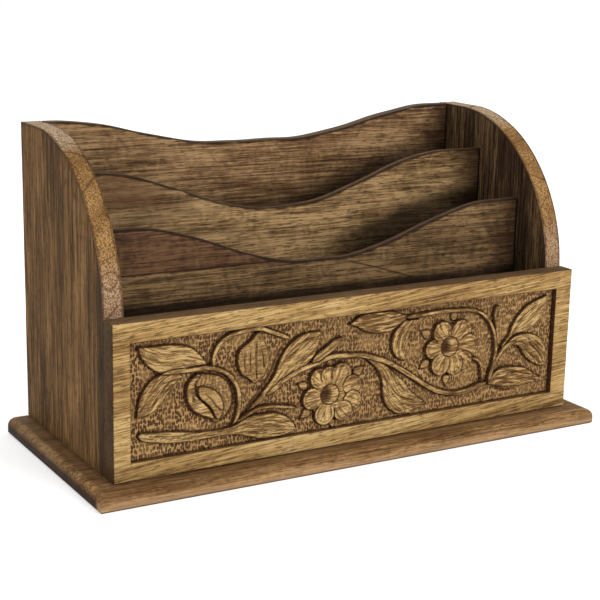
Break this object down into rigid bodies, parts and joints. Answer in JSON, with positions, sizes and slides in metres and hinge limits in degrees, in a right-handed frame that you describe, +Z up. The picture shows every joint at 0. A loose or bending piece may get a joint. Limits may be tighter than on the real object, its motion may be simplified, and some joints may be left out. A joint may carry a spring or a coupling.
{
  "type": "letter rack",
  "caption": "Wooden desk letter rack: curved sides, wavy-topped back and dividers, and a low front panel with a sunk field for carving, on a base board that reaches out.",
  "frame": {"origin": "middle of the base board's underside", "axes": "+X to the right along the front, +Y to the back, +Z up"},
  "size_m": [0.282, 0.123, 0.159],
  "materials": {
    "base_wood": "satin",
    "side_wood": "satin",
    "divider_wood": "satin",
    "panel_wood": "satin",
    "dowel_wood": "matte",
    "screw_steel": "zinc plated"
  },
  "bodies": {
    "root": {"base_board": "base_wood", "left_side": "side_wood", "right_side": "side_wood", "back_panel": "divider_wood", "rear_divider": "divider_wood", "front_divider": "divider_wood", "front_panel": "panel_wood", "side_screw_left_front": "screw_steel", "side_screw_left_rear": "screw_steel", "side_screw_right_front": "screw_steel", "side_screw_right_rear": "screw_steel", "panel_screw_left": "screw_steel", "panel_screw_right": "screw_steel", "back_screw_left": "screw_steel", "back_screw_right": "screw_steel", "panel_dowel_left_lower": "dowel_wood", "panel_dowel_left_upper": "dowel_wood", "panel_dowel_right_lower": "dowel_wood", "panel_dowel_right_upper": "dowel_wood", "back_dowel_left_lower": "dowel_wood", "back_dowel_left_upper": "dowel_wood", "back_dowel_right_lower": "dowel_wood", "back_dowel_right_upper": "dowel_wood"}
  },
  "joints": []
}
